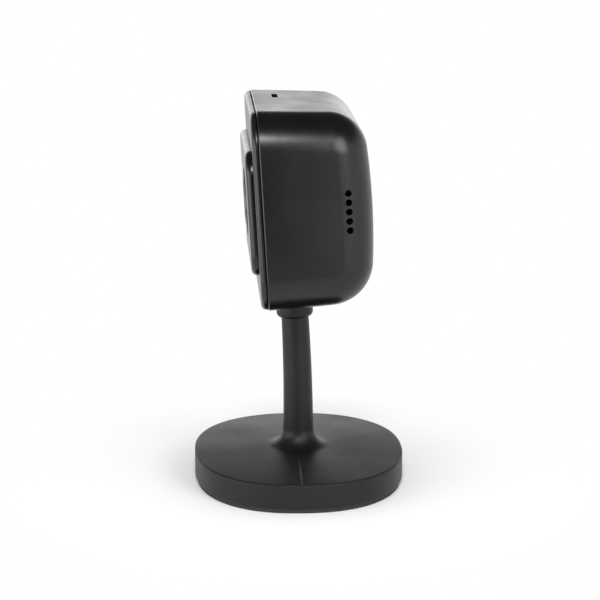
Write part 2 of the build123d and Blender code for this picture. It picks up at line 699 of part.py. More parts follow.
def microphone_boot():
    """Rubber cup that holds the microphone under the slot in the top."""
    cup = rod(MIC_RADIUS + BOOT_WALL, roof_height() - MIC_HEIGHT - BOOT_WALL, roof_height())
    cup -= rod(MIC_RADIUS, roof_height() - MIC_HEIGHT - 2 * BOOT_WALL, roof_height() - BOOT_WALL)
    cup -= rod(MIC_RADIUS / 2, roof_height() - 2 * BOOT_WALL, roof_height() + OVERLAP)
    return Pos(SLOT_SIDE, 0, -SLOT_BACK) * Rot(X=-90) * cup


def microphone():
    """Round microphone capsule."""
    capsule = rod(MIC_RADIUS - FIT, roof_height() - MIC_HEIGHT - BOOT_WALL, roof_height() - BOOT_WALL)
    return Pos(SLOT_SIDE, 0, -SLOT_BACK) * Rot(X=-90) * capsule


def save(name, shape, place=Location()):
    """Write one piece, or one group of like pieces, as its own file."""
    pieces = shape if isinstance(shape, list) else [shape]
    solids = [solid for piece in pieces for solid in (place * piece).solids()]
    whole = solids[0] if len(solids) == 1 else Compound(children=solids)
    export_step(whole, os.path.join("parts", name + ".step"))


def main():
    """Build every piece and write it out."""
    os.makedirs("parts", exist_ok=True)
    stand = {"base_skin": base_skin, "base_weight": base_weight, "base_pad": base_pad,
             "foot_ferrule": foot_ferrule, "neck_sleeve": neck_sleeve}
    head = {"neck_collar": neck_collar, "top_ferrule": top_ferrule, "lock_nut": lock_nut,
            "rear_housing": rear_housing, "front_bezel": front_bezel, "lens_panel": lens_panel,
            "lens_ring": lens_ring, "lens_glass": lens_glass, "lens_barrel": lens_barrel,
            "lens_elements": lens_elements, "lens_holder": lens_holder, "image_sensor": image_sensor,
            "main_board": main_board, "board_screws": board_screws, "led_board": led_board,
            "led_screws": led_screws, "ir_leds": ir_leds, "light_sensor": light_sensor,
            "processor_can": processor_can, "wifi_module": wifi_module, "io_board": io_board,
            "io_screws": io_screws, "usb_socket": usb_socket, "reset_switch": reset_switch,
            "reset_button": reset_button, "status_pipe": status_pipe, "speaker_gasket": speaker_gasket,
            "speaker": speaker, "microphone_boot": microphone_boot, "microphone": microphone}
    for name, make in stand.items():
        save(name, make())
    for number in range(1, NECK_JOINTS):
        save("neck_link_" + str(number), neck_link(number))
    for name, make in head.items():
        save(name, make(), FACE)


main()
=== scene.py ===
"""Studio scene of a small security camera on a bendable neck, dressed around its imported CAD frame."""

import json
import logging
import math
from collections.abc import Callable
from dataclasses import dataclass
from enum import Enum

import bmesh
import bpy
from mathutils import Matrix, Vector

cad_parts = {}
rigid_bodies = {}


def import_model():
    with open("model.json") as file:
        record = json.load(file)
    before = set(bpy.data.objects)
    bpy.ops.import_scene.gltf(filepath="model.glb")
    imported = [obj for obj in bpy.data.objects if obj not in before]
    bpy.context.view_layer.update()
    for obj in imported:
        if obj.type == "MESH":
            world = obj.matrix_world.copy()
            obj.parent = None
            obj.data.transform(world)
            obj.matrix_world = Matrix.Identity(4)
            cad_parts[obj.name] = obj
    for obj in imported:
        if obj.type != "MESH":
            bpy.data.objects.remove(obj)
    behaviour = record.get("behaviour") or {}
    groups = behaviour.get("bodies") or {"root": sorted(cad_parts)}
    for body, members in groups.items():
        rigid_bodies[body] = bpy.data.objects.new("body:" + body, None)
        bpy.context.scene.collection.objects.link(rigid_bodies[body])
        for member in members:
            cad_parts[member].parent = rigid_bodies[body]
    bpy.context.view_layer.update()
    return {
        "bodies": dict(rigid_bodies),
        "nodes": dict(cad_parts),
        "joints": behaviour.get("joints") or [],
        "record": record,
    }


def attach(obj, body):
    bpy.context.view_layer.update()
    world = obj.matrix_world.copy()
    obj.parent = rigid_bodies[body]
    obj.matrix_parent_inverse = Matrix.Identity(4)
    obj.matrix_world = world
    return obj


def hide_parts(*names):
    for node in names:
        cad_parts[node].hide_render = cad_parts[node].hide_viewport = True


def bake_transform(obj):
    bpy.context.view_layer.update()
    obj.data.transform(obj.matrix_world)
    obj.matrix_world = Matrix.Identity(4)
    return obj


LOG = logging.getLogger("camera_scene")
MM = 0.001
NOISE_SPAN = (0.3, 0.7)  # where most values of a noise texture lie
BRUSH_STRETCH = (1.0, 1.0, 0.06)  # draws the grain out into upright marks
LEVEL = 0.9  # upward share of a normal that counts as level
SNAP = 1e-7  # metres: a cut this close to a point keeps that point
ON_LINE = 1e-6  # metres: a point this close lies on a line

Place = Callable[[float], Vector]


def linear(colour: str) -> tuple[float, float, float, float]:
    """Turn an sRGB hex colour into linear light.

    Args:
        colour: six hex digits after a #.

    Returns:
        Red, green, blue and an alpha of 1.
    """
    parts = [int(colour[i : i + 2], 16) / 255.0 for i in (1, 3, 5)]
    light = [c / 12.92 if c <= 0.04045 else ((c + 0.055) / 1.055) ** 2.4 for c in parts]
    return light[0], light[1], light[2], 1.0


def per_mm(size: float) -> float:
    """Scale of a texture whose features are this many millimetres across."""
    return 1.0 / (size * MM)


def quarter(steps: int) -> list[tuple[float, float]]:
    """Sine and cosine at even steps through a quarter turn."""
    turns = [math.pi / 2 * step / steps for step in range(steps + 1)]
    return [(math.sin(turn), math.cos(turn)) for turn in turns]


def add_node(
    tree: bpy.types.NodeTree,
    kind: str,
    inputs: dict[str | int, object] | None = None,
    **settings: object,
) -> bpy.types.Node:
    """Add a shader node with its settings and links.

    Args:
        tree: node tree that gets the node.
        kind: Blender's name of the node type.
        inputs: values or sockets for its inputs, by name or number.
        settings: properties of the node.

    Returns:
        The new node.
    """
    node = tree.nodes.new(kind)
    for name, value in settings.items():
        setattr(node, name, value)
    for key, value in (inputs or {}).items():
        if isinstance(value, bpy.types.NodeSocket):
            tree.links.new(value, node.inputs[key])
        else:
            node.inputs[key].default_value = value
    return node


class Pattern(Enum):
    """How a surface was made, which sets the shape of its fine relief."""

    MOULDED = "moulded"
    BRUSHED = "brushed"
    PRINTED = "printed"


@dataclass(frozen=True)
class Finish:
    """A material: what it is made of, how its surface was made and what that gives the eye."""

    name: str
    colour: str
    shade: str
    roughness: float
    spread: float = 0.04  # how far the roughness wanders each way
    cloud_mm: float = 14.0  # size of the soft blotches
    grain_mm: float = 0.4
    relief_mm: float = 0.01
    metallic: float = 0.0
    ior: float = 1.5
    coat: float = 0.0
    coat_roughness: float = 0.05
    specular: float = 0.5
    transmission: float = 0.0
    pattern: Pattern = Pattern.MOULDED

    def build(self) -> bpy.types.Material:
        """Make the Blender material.

        Returns:
            A material on Object coordinates, with colour, polish and relief from its nodes.
        """
        material = bpy.data.materials.new(self.name)
        material.use_nodes = True
        tree = material.node_tree
        tree.nodes.clear()
        place = add_node(tree, "ShaderNodeTexCoord").outputs["Object"]
        cloud = add_node(
            tree,
            "ShaderNodeTexNoise",
            {"Vector": place, "Scale": per_mm(self.cloud_mm), "Detail": 3.0},
        ).outputs["Fac"]
        height = self.relief(tree, place)
        tint = self.tint(tree, cloud, height)
        polish = add_node(
            tree,
            "ShaderNodeMapRange",
            {
                "Value": cloud,
                "From Min": NOISE_SPAN[0],
                "From Max": NOISE_SPAN[1],
                "To Min": self.roughness - self.spread,
                "To Max": self.roughness + self.spread,
            },
        ).outputs["Result"]
        bump = add_node(
            tree,
            "ShaderNodeBump",
            {"Strength": 1.0, "Distance": self.relief_mm * MM, "Height": height},
        ).outputs["Normal"]
        shader = add_node(
            tree,
            "ShaderNodeBsdfPrincipled",
            {
                "Base Color": tint,
                "Roughness": polish,
                "Normal": bump,
                "Metallic": self.metallic,
                "IOR": self.ior,
                "Specular IOR Level": self.specular,
                "Coat Weight": self.coat,
                "Coat Roughness": self.coat_roughness,
                "Transmission Weight": self.transmission,
            },
        )
        add_node(tree, "ShaderNodeOutputMaterial", {"Surface": shader.outputs["BSDF"]})
        return material

    def relief(self, tree: bpy.types.NodeTree, place: bpy.types.NodeSocket) -> bpy.types.NodeSocket:
        """Fine relief of the surface.

        Args:
            tree: node tree of the material.
            place: Object coordinates.

        Returns:
            A height between 0 and 1.
        """
        if self.pattern is Pattern.BRUSHED:
            place = add_node(
                tree, "ShaderNodeMapping", {"Vector": place, "Scale": BRUSH_STRETCH}
            ).outputs["Vector"]
        if self.pattern is Pattern.PRINTED:
            return add_node(
                tree,
                "ShaderNodeTexVoronoi",
                {"Vector": place, "Scale": per_mm(self.grain_mm)},
                distance="CHEBYCHEV",
            ).outputs["Distance"]
        return add_node(
            tree,
            "ShaderNodeTexNoise",
            {"Vector": place, "Scale": per_mm(self.grain_mm), "Detail": 4.0, "Roughness": 0.6},
        ).outputs["Fac"]

    def tint(
        self, tree: bpy.types.NodeTree, cloud: bpy.types.NodeSocket, height: bpy.types.NodeSocket
    ) -> bpy.types.NodeSocket:
        """Colour with its soft blotches, or its printed tracks.

        Args:
            tree: node tree of the material.
            cloud: soft noise.
            height: the surface's relief.

        Returns:
            The mixed colour.
        """
        source = height if self.pattern is Pattern.PRINTED else cloud
        share = add_node(
            tree,
            "ShaderNodeMapRange",
            {"Value": source, "From Min": NOISE_SPAN[0], "From Max": NOISE_SPAN[1]},
        ).outputs["Result"]
        mixed = add_node(
            tree,
            "ShaderNodeMix",
            {0: share, 6: linear(self.colour), 7: linear(self.shade)},
            data_type="RGBA",
        )
        return mixed.outputs[2]


class Finishes(Enum):
    """Every material on the camera."""

    # Spark-eroded ABS: a fine matt grain that spreads each highlight into a soft glow.
    HOUSING = Finish("satin_abs", "#080809", "#0a0a0b", roughness=0.31, grain_mm=0.35, relief_mm=0.004)
    # ABS from a finer tool: a closer satin, so its narrow sides show soft streaks.
    BEZEL = Finish(
        "fine_satin_abs", "#0e0e0f", "#111112", roughness=0.3, spread=0.03, grain_mm=0.3, relief_mm=0.003
    )
    # Smoked acrylic, lightly etched: almost black, with a soft broad reflection.
    PANEL = Finish("smoked_acrylic", "#0a0a0b", "#0c0c0d", roughness=0.27, spread=0.02, relief_mm=0.001)
    # Painted shade: a dead-black strip in the seam between the front and the housing, standing in for the
    # shadow there.
    SEAM_SHADE = Finish(
        "painted_seam_shade", "#020202", "#030303", roughness=0.9, spread=0.03, cloud_mm=4.0, specular=0.05
    )
    # Polished ABS, turned smooth: a bright thin line on its rounded edge.
    RING = Finish(
        "polished_ring_abs", "#0b0b0c", "#0d0d0e", roughness=0.18, spread=0.02, relief_mm=0.001, coat=0.3
    )
    # Silicone rubber: a dry satin that greys at low angles, with faint flow marks.
    SILICONE = Finish(
        "silicone_rubber",
        "#0b0b0c",
        "#0f0f10",
        roughness=0.46,
        spread=0.06,
        cloud_mm=18.0,
        grain_mm=0.3,
        relief_mm=0.012,
        ior=1.41,
    )
    # Dense rubber pad: dull and a little lighter where it has rubbed.
    PAD = Finish(
        "pad_rubber",
        "#1c1c1d",
        "#232324",
        roughness=0.7,
        spread=0.05,
        cloud_mm=6.0,
        grain_mm=0.5,
        relief_mm=0.03,
    )
    # Coated cover glass: clear, with a hard clean reflection.
    COVER = Finish(
        "cover_glass", "#f4f8ff", "#eef4ff", roughness=0.01, spread=0.0, relief_mm=0.0, transmission=1.0
    )
    # Coated optical glass: tinted by its thin film.
    OPTIC = Finish(
        "optical_glass",
        "#4c5a94",
        "#5f4f94",
        roughness=0.01,
        spread=0.0,
        relief_mm=0.0,
        transmission=1.0,
        ior=1.62,
    )
    # Black polycarbonate inside the lens: dead matt, so that it throws no light back.
    BARREL = Finish("barrel_polycarbonate", "#0a0a0a", "#0c0c0c", roughness=0.6)
    # Nickel-plated steel: a soft grey metal with turning marks.
    STEEL = Finish(
        "nickel_steel",
        "#a9a9ad",
        "#b6b6b9",
        roughness=0.3,
        spread=0.05,
        cloud_mm=5.0,
        grain_mm=0.25,
        relief_mm=0.004,
        metallic=1.0,
        pattern=Pattern.BRUSHED,
    )
    # Zinc-plated plate: duller and bluer.
    ZINC = Finish(
        "zinc_plate",
        "#8f9296",
        "#a0a3a6",
        roughness=0.42,
        spread=0.06,
        cloud_mm=6.0,
        grain_mm=0.6,
        metallic=1.0,
    )
    # Black-plated steel screws: a dark metal with a soft glint.
    SCREW = Finish(
        "black_screw_steel",
        "#3a3a3c",
        "#454547",
        roughness=0.35,
        spread=0.05,
        cloud_mm=3.0,
        grain_mm=0.2,
        relief_mm=0.004,
        metallic=1.0,
    )
    # Glass-fibre board under green solder mask, with its tracks showing through.
    BOARD = Finish(
        "solder_mask_board",
        "#0e3a22",
        "#14512f",
        roughness=0.4,
        spread=0.03,
        cloud_mm=4.0,
        grain_mm=1.6,
        relief_mm=0.03,
        pattern=Pattern.PRINTED,
    )
    # Tinned steel: bright, with fine rolling marks.
    TIN = Finish(
        "tinned_steel",
        "#b9bab8",
        "#c6c6c4",
        roughness=0.28,
        spread=0.05,
        cloud_mm=4.0,
        grain_mm=0.3,
        relief_mm=0.003,
        metallic=1.0,
        pattern=Pattern.BRUSHED,
    )
    # Epoxy of the lamps and the light sensor: smoky and glossy.
    EPOXY = Finish(
        "lamp_epoxy",
        "#3a3038",
        "#463a44",
        roughness=0.12,
        spread=0.02,
        cloud_mm=2.0,
        relief_mm=0.001,
        coat=0.5,
    )
    # Silicon under its filter: dark with a violet gleam.
    SILICON = Finish(
        "filtered_silicon",
        "#1c1830",
        "#2a2044",
        roughness=0.1,
        spread=0.02,
        cloud_mm=2.0,
        relief_mm=0.001,
        coat=0.6,
    )
    # Clear acrylic light pipe: pale and a little clouded.
    CLEAR = Finish(
        "clear_acrylic",
        "#e9eeee",
        "#dfe6e6",
        roughness=0.1,
        spread=0.02,
        relief_mm=0.001,
        transmission=0.9,
        ior=1.49,
    )
    # Open foam: coarse and dull.
    FOAM = Finish(
        "open_foam",
        "#161616",
        "#242424",
        roughness=0.9,
        spread=0.05,
        cloud_mm=3.0,
        grain_mm=0.6,
        relief_mm=0.12,
    )
    # Paper pulp of the speaker's cone: dull and a little rough.
    CONE = Finish(
        "speaker_pulp", "#1a1a1a", "#262626", roughness=0.75, spread=0.05, cloud_mm=3.0, relief_mm=0.05
    )


class Wardrobe:
    """Builds each material once and puts it on the pieces."""

    def __init__(self) -> None:
        """Start with no material built."""
        self.made: dict[Finishes, bpy.types.Material] = {}

    def get(self, finish: Finishes) -> bpy.types.Material:
        """Give the Blender material of a finish.

        Args:
            finish: which finish.

        Returns:
            The material, built when first asked for.
        """
        if finish not in self.made:
            self.made[finish] = finish.value.build()
        return self.made[finish]

    def dress(self, obj: bpy.types.Object, finish: Finishes) -> None:
        """Put a finish in every material slot of an object.

        Args:
            obj: a CAD node or a new piece.
            finish: which finish.
        """
        material = self.get(finish)
        if not obj.material_slots:
            obj.data.materials.append(material)
        for slot in obj.material_slots:
            slot.material = material
        LOG.info("dressed %s in %s", obj.name, finish.value.name)


def make_object(name: str, bm: bmesh.types.BMesh, sharp_deg: float = 35.0) -> bpy.types.Object:
    """Turn a finished bmesh into a smooth-shaded object at the origin.

    Args:
        name: the piece's name.
        bm: the finished mesh, which is freed.
        sharp_deg: edges that turn by more than this are shaded as sharp.

    Returns:
        The new object, linked to the scene.
    """
    bmesh.ops.recalc_face_normals(bm, faces=bm.faces[:])
    for face in bm.faces:
        face.smooth = True
    for edge in bm.edges:
        edge.smooth = len(edge.link_faces) == 2 and edge.calc_face_angle() < math.radians(sharp_deg)
    mesh = bpy.data.meshes.new(name)
    bm.to_mesh(mesh)
    bm.free()
    obj = bpy.data.objects.new(name, mesh)
    bpy.context.scene.collection.objects.link(obj)
    return obj


class RingSkin:
    """A skin that grows from a circle, ring by ring."""

    def __init__(self, segments: int, place: Place) -> None:
        """Start with one ring.

        Args:
            segments: points on each ring.
            place: gives the point of the ring at a turn in radians.
        """
        self.bm = bmesh.new()
        self.turn = self.bm.verts.layers.float.new("turn")
        ring = bmesh.ops.create_circle(self.bm, cap_ends=False, segments=segments, radius=1.0)["verts"]
        for vert in ring:
            vert[self.turn] = math.atan2(vert.co.y, vert.co.x)
        self.edges = self.bm.edges[:]
        self.first = self.edges
        self.put(ring, place)

    def put(self, ring: list[bmesh.types.BMVert], place: Place) -> None:
        """Move each point of a ring to its place.

        Args:
            ring: the ring's points.
            place: gives the point of the ring at a turn in radians.
        """
        for vert in ring:
            vert.co = place(vert[self.turn])

    def grow(self, place: Place) -> None:
        """Extrude the open end into one more ring.

        Args:
            place: gives the point of the new ring at a turn in radians.
        """
        made = bmesh.ops.extrude_edge_only(self.bm, edges=self.edges)["geom"]
        ring = [item for item in made if isinstance(item, bmesh.types.BMVert)]
        fresh = set(ring)
        self.edges = [
            item for item in made if isinstance(item, bmesh.types.BMEdge) and set(item.verts) <= fresh
        ]
        self.put(ring, place)

    def join_ends(self) -> None:
        """Close the skin by joining its last ring to its first."""
        bmesh.ops.bridge_loops(self.bm, edges=self.first + self.edges)

    def cap(self) -> None:
        """Close both ends with flat faces."""
        bmesh.ops.edgeloop_fill(self.bm, edges=self.first)
        bmesh.ops.edgeloop_fill(self.bm, edges=self.edges)


@dataclass
class NeckLine:
    """The bent line that the neck follows, in millimetres."""

    length: float = 29.8
    lean_deg: float = 3.2
    foot_z: float = 13.2
    joints: int = 8

    @property
    def pitch(self) -> float:
        """Distance from one joint to the next."""
        return self.length / self.joints

    def at(self, run: float) -> Matrix:
        """Place and lean of the neck at a distance from its foot.

        Args:
            run: distance along the neck in millimetres.

        Returns:
            A matrix from the neck's own frame to the row frame, in metres.
        """
        lean = math.radians(self.lean_deg)
        radius = self.length / lean
        angle = lean * run / self.length
        place = Vector((0.0, -radius * (1.0 - math.cos(angle)), self.foot_z + radius * math.sin(angle)))
        return Matrix.Translation(place * MM) @ Matrix.Rotation(angle, 4, "X")


@dataclass
class Foot:
    """The oval foot, in millimetres: its moulded skin with the flare of the neck, and the pad below."""

    width: float = 62.0
    depth: float = 54.0
    power: float = 2.27  # 2 is an ellipse, more is squarer
    low: float = 1.2  # the skin's underside, on the pad
    top: float = 7.5  # the top at its two ends
    crown: float = 1.2  # how far the top rises from there to the middle
    edge: float = 0.3  # rounding of the upper edge
    low_edge: float = 0.3
    land: float = 0.1  # flat ring beside the lower rounding
    cap_inset: float = 2.0  # the flat cap of the underside starts this far in
    flare: float = 4.4
    neck_radius: float = 3.9
    root_top: float = 13.2
    segments: int = 160
    low_steps: int = 3
    edge_steps: int = 5
    flare_steps: int = 10
    wall_shares: tuple[float, ...] = (0.05, 0.5, 0.95)
    top_shares: tuple[float, ...] = (0.02, 0.15, 0.3, 0.45, 0.6, 0.75, 0.88, 0.97)
    line_y: float = -0.6
    line_width: float = 0.5
    line_depth: float = 0.12
    line_cuts: tuple[float, ...] = (-0.5, 0.0, 0.5)  # in line widths: one edge, the middle, the other edge
    line_reach: float = 0.02  # points of the line this near the top's surface are sunk

    @property
    def flare_radius(self) -> float:
        """Radius at which the flare meets the top."""
        return self.neck_radius + self.flare

    def outline(self, turn: float, inset: float) -> Vector:
        """Point of the oval, drawn in by an inset.

        Args:
            turn: angle round the foot.
            inset: how far inside the outer edge, in millimetres.

        Returns:
            The point, level with the table.
        """
        share = 2.0 / self.power
        side, ahead = math.cos(turn), math.sin(turn)
        x = (self.width / 2 - inset) * math.copysign(abs(side) ** share, side)
        y = (self.depth / 2 - inset) * math.copysign(abs(ahead) ** share, ahead)
        return Vector((x, y, 0.0))

    def rise(self, point: Vector) -> float:
        """Height of the crowned top above its level at the two ends, in millimetres.

        Args:
            point: a point of the foot's plan.

        Returns:
            The rise there.
        """
        return self.crown * (1.0 - (point.x**2 + point.y**2) / (self.width / 2) ** 2)

    def oval(self, inset: float, z: float) -> Place:
        """Level ring of the foot's outline.

        Args:
            inset: how far inside the outer edge, in millimetres.
            z: height in millimetres.

        Returns:
            The ring's place function.
        """
        return lambda turn: (self.outline(turn, inset) + Vector((0, 0, z))) * MM

    def rim(self, inset: float, drop: float) -> Place:
        """Ring near the upper edge, which follows the crowned top.

        Args:
            inset: how far inside the outer edge, in millimetres.
            drop: how far below the top, in millimetres.

        Returns:
            The ring's place function.
        """

        def place(turn: float) -> Vector:
            """Point of the ring at a turn."""
            point = self.outline(turn, inset)
            point.z = self.top + self.rise(point) - drop
            return point * MM

        return place

    def between(self, share: float) -> Place:
        """Ring on the crowned top, between its oval edge and the round flare.

        Args:
            share: 0 at the edge and 1 at the flare.

        Returns:
            The ring's place function.
        """

        def place(turn: float) -> Vector:
            """Point of the ring at a turn."""
            hub = Vector((self.flare_radius * math.cos(turn), self.flare_radius * math.sin(turn), 0.0))
            point = self.outline(turn, self.edge).lerp(hub, share)
            point.z = self.top + self.rise(point)
            return point * MM

        return place

    def circle(self, radius: float, z: float) -> Place:
        """Round ring about the neck.

        Args:
            radius: in millimetres.
            z: height in millimetres.

        Returns:
            The ring's place function.
        """
        return lambda turn: Vector((radius * math.cos(turn), radius * math.sin(turn), z)) * MM

    def skin(self) -> bpy.types.Object:
        """Grow the skin from its underside up to the root of the neck.

        Returns:
            The finished piece.
        """
        rings = RingSkin(self.segments, self.oval(self.cap_inset, self.low))
        rings.grow(self.oval(self.low_edge + self.land, self.low))
        for sine, cosine in quarter(self.low_steps):
            rings.grow(self.oval(self.low_edge * (1 - sine), self.low + self.low_edge * (1 - cosine)))
        wall_low, wall_high = self.low + self.low_edge, self.top - self.edge
        for share in self.wall_shares:
            rings.grow(self.oval(0.0, wall_low + share * (wall_high - wall_low)))
        for sine, cosine in quarter(self.edge_steps):
            rings.grow(self.rim(self.edge * (1 - cosine), self.edge * (1 - sine)))
        for share in self.top_shares:
            rings.grow(self.between(share))
        root = self.top + self.rise(Vector((self.flare_radius, 0.0, 0.0)))
        for sine, cosine in quarter(self.flare_steps):
            radius = self.neck_radius + self.flare * (1 - sine)
            rings.grow(self.circle(radius, root + self.flare * (1 - cosine)))
        rings.grow(self.circle(self.neck_radius, self.root_top))
        rings.cap()
        self.score(rings.bm)
        return make_object("foot_skin", rings.bm)

    def score(self, bm: bmesh.types.BMesh) -> None:
        """Cut the tool's parting line into the top, from the flare to the near edge.

        Args:
            bm: the foot's mesh.
        """
        inner = self.flare_radius * MM
        for offset in self.line_cuts:
            near = [
                face
                for face in bm.faces
                if face.normal.z > LEVEL and face.calc_center_median().x > inner
            ]
            geom = set(near)
            for face in near:
                geom.update(face.edges)
                geom.update(face.verts)
            level = (self.line_y + offset * self.line_width) * MM
            bmesh.ops.bisect_plane(
                bm, geom=list(geom), dist=SNAP, plane_co=(0, level, 0), plane_no=(0, 1, 0)
            )
            bm.normal_update()
        for vert in bm.verts:
            on_line = abs(vert.co.y - self.line_y * MM) < ON_LINE and vert.co.x > inner
            level = (self.top + self.rise(vert.co / MM)) * MM
            if on_line and abs(vert.co.z - level) < self.line_reach * MM:
                vert.co.z -= self.line_depth * MM

    def build(self, wardrobe: Wardrobe, nodes: dict[str, bpy.types.Object]) -> None:
        """Make and dress the foot.

        Args:
            wardrobe: the materials.
            nodes: the CAD nodes.
        """
        skin = self.skin()
        wardrobe.dress(skin, Finishes.SILICONE)
        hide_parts("base_skin")
        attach(skin, "base")
        for name, finish in (
            ("base_pad", Finishes.PAD),
            ("base_weight", Finishes.ZINC),
            ("foot_ferrule", Finishes.STEEL),
        ):
            wardrobe.dress(nodes[name], finish)


@dataclass
class Neck:
    """The soft sleeve of the neck, one piece for each hidden joint, with the links and the collar."""

    line: NeckLine
    foot_radius: float = 3.9
    top_radius: float = 3.5
    wall: float = 0.9
    segments: int = 72
    rings: int = 10

    def radius(self, run: float) -> float:
        """Outer radius at a distance from the foot, in millimetres."""
        return self.foot_radius + (self.top_radius - self.foot_radius) * run / self.line.length

    def ring(self, run: float, radius: float) -> Place:
        """Ring square to the neck's line.

        Args:
            run: distance along the neck in millimetres.
            radius: the ring's radius in millimetres.

        Returns:
            The ring's place function.
        """
        frame = self.line.at(run)
        return lambda turn: frame @ (Vector((math.cos(turn), math.sin(turn), 0.0)) * radius * MM)

    def piece(self, number: int) -> bpy.types.Object:
        """One length of sleeve, from the middle of one link to the middle of the next.

        Args:
            number: the joint that it spans, from 1.

        Returns:
            The finished piece.
        """
        low = (number - 1) * self.line.pitch
        runs = [low + self.line.pitch * step / self.rings for step in range(self.rings + 1)]
        skin = RingSkin(self.segments, self.ring(runs[0], self.radius(runs[0])))
        for run in runs[1:]:
            skin.grow(self.ring(run, self.radius(run)))
        for run in reversed(runs):
            skin.grow(self.ring(run, self.radius(run) - self.wall))
        skin.join_ends()
        return make_object(f"neck_sleeve_{number}", skin.bm)

    def build(self, wardrobe: Wardrobe, nodes: dict[str, bpy.types.Object]) -> None:
        """Make and dress the neck.

        Args:
            wardrobe: the materials.
            nodes: the CAD nodes.
        """
        last = self.line.joints
        for number in range(1, last + 1):
            sleeve = self.piece(number)
            wardrobe.dress(sleeve, Finishes.SILICONE)
            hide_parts("neck_sleeve")
            start = self.line.at((number - 1) * self.line.pitch).translation
            end = self.line.at(number * self.line.pitch).translation
            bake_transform(sleeve)
        for number in range(1, last):
            wardrobe.dress(nodes[f"neck_link_{number}"], Finishes.STEEL)
        wardrobe.dress(nodes["neck_collar"], Finishes.SILICONE)
        wardrobe.dress(nodes["top_ferrule"], Finishes.STEEL)
        wardrobe.dress(nodes["lock_nut"], Finishes.STEEL)


@dataclass
class Head:
    """The head, in millimetres: its housing, front and everything inside."""

    line: NeckLine
    setback: float = 7.35  # neck axis behind the rim
    rise: float = 31.55  # head's middle above the neck's end
    lens_drop: float = 0.7  # lens axis below the head's middle
    # painted seam shade: size, corner, depth and wall of the dead-black strip in the seam
    seam_shade_width: float = 55.44
    seam_shade_height: float = 49.04
    seam_shade_corner: float = 8.72
    seam_shade_depth: float = 0.32
    seam_shade_wall: float = 1.0
    corner_segments: int = 24
    baffle_segments: int = 96
    # Radius and height of each point round the baffle's section.
    baffle_section: tuple[tuple[float, float], ...] = (
        (6.5, 1.5),
        (6.5, 1.9),
        (6.2, 1.9),
        (6.0, 1.6),
        (5.7, 1.6),
        (5.5, 1.3),
        (4.75, 1.3),
        (4.75, 1.45),
    )

    def face(self) -> Matrix:
        """Frame of the head drawn face on: x right, y up, z out of the front, 0 at the rim."""
        shift = Matrix.Translation(Vector((0.0, -self.setback, self.rise)) * MM)
        return self.line.at(self.line.length) @ shift @ Matrix.Rotation(math.radians(90), 4, "X")

    def seam_shade(self) -> bpy.types.Object:
        """Thin dead-black strip in the seam between the front and the housing: painted shade in place of
        the seam's shadow.

        Returns:
            The finished piece.
        """
        bm = bmesh.new()
        bmesh.ops.create_grid(bm, x_segments=1, y_segments=1, size=0.5)
        bmesh.ops.scale(bm, vec=(self.seam_shade_width * MM, self.seam_shade_height * MM, 1.0), verts=bm.verts[:])
        bmesh.ops.bevel(
            bm,
            geom=bm.verts[:],
            offset=self.seam_shade_corner * MM,
            offset_type="OFFSET",
            affect="VERTICES",
            segments=self.corner_segments,
            profile=0.5,
            material=-1,
        )
        middle = bm.faces[:]
        bmesh.ops.inset_region(
            bm, faces=middle, thickness=self.seam_shade_wall * MM, use_boundary=True, use_even_offset=True
        )
        bmesh.ops.delete(bm, geom=middle, context="FACES")
        grown = bmesh.ops.extrude_face_region(bm, geom=bm.faces[:])["geom"]
        upper = [item for item in grown if isinstance(item, bmesh.types.BMVert)]
        bmesh.ops.translate(bm, vec=(0.0, 0.0, self.seam_shade_depth * MM), verts=upper)
        bmesh.ops.transform(bm, matrix=self.face(), verts=bm.verts[:])
        return make_object("seam_shade_strip", bm)

    def baffle(self) -> bpy.types.Object:
        """Stepped black cone between the cover glass and the lens.

        Returns:
            The finished piece.
        """
        centre = self.face() @ Matrix.Translation((0.0, -self.lens_drop * MM, 0.0))

        def ring(radius: float, height: float) -> Place:
            """Ring about the lens axis."""
            return lambda turn: centre @ (
                Vector((radius * math.cos(turn), radius * math.sin(turn), height)) * MM
            )

        skin = RingSkin(self.baffle_segments, ring(*self.baffle_section[0]))
        for radius, height in self.baffle_section[1:]:
            skin.grow(ring(radius, height))
        skin.join_ends()
        return make_object("lens_baffle", skin.bm)

    def build(self, wardrobe: Wardrobe, nodes: dict[str, bpy.types.Object]) -> None:
        """Dress the CAD nodes of the head and add the painted seam shade and the baffle.

        Args:
            wardrobe: the materials.
            nodes: the CAD nodes.
        """
        outside = {
            "rear_housing": Finishes.HOUSING,
            "front_bezel": Finishes.BEZEL,
            "lens_panel": Finishes.PANEL,
            "lens_ring": Finishes.RING,
            "lens_glass": Finishes.COVER,
            "reset_button": Finishes.HOUSING,
            "status_pipe": Finishes.CLEAR,
            "usb_socket": Finishes.TIN,
        }
        inside = {
            "lens_barrel": Finishes.BARREL,
            "lens_elements": Finishes.OPTIC,
            "lens_holder": Finishes.BARREL,
            "image_sensor": Finishes.SILICON,
            "main_board": Finishes.BOARD,
            "board_screws": Finishes.SCREW,
            "led_board": Finishes.BOARD,
            "led_screws": Finishes.SCREW,
            "ir_leds": Finishes.EPOXY,
            "light_sensor": Finishes.EPOXY,
            "processor_can": Finishes.TIN,
            "wifi_module": Finishes.TIN,
            "io_board": Finishes.BOARD,
            "io_screws": Finishes.SCREW,
            "reset_switch": Finishes.TIN,
            "speaker_gasket": Finishes.FOAM,
            "speaker": Finishes.CONE,
            "microphone_boot": Finishes.FOAM,
            "microphone": Finishes.TIN,
        }
        for name, finish in {**outside, **inside}.items():
            wardrobe.dress(nodes[name], finish)
        for piece, finish, slot in (
            # the dead-black strip is painted shade, standing in for the seam's shadow
            (self.seam_shade(), Finishes.SEAM_SHADE, "foam"),
            (self.baffle(), Finishes.BARREL, "barrel_plastic"),
        ):
            wardrobe.dress(piece, finish)
            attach(piece, "head")


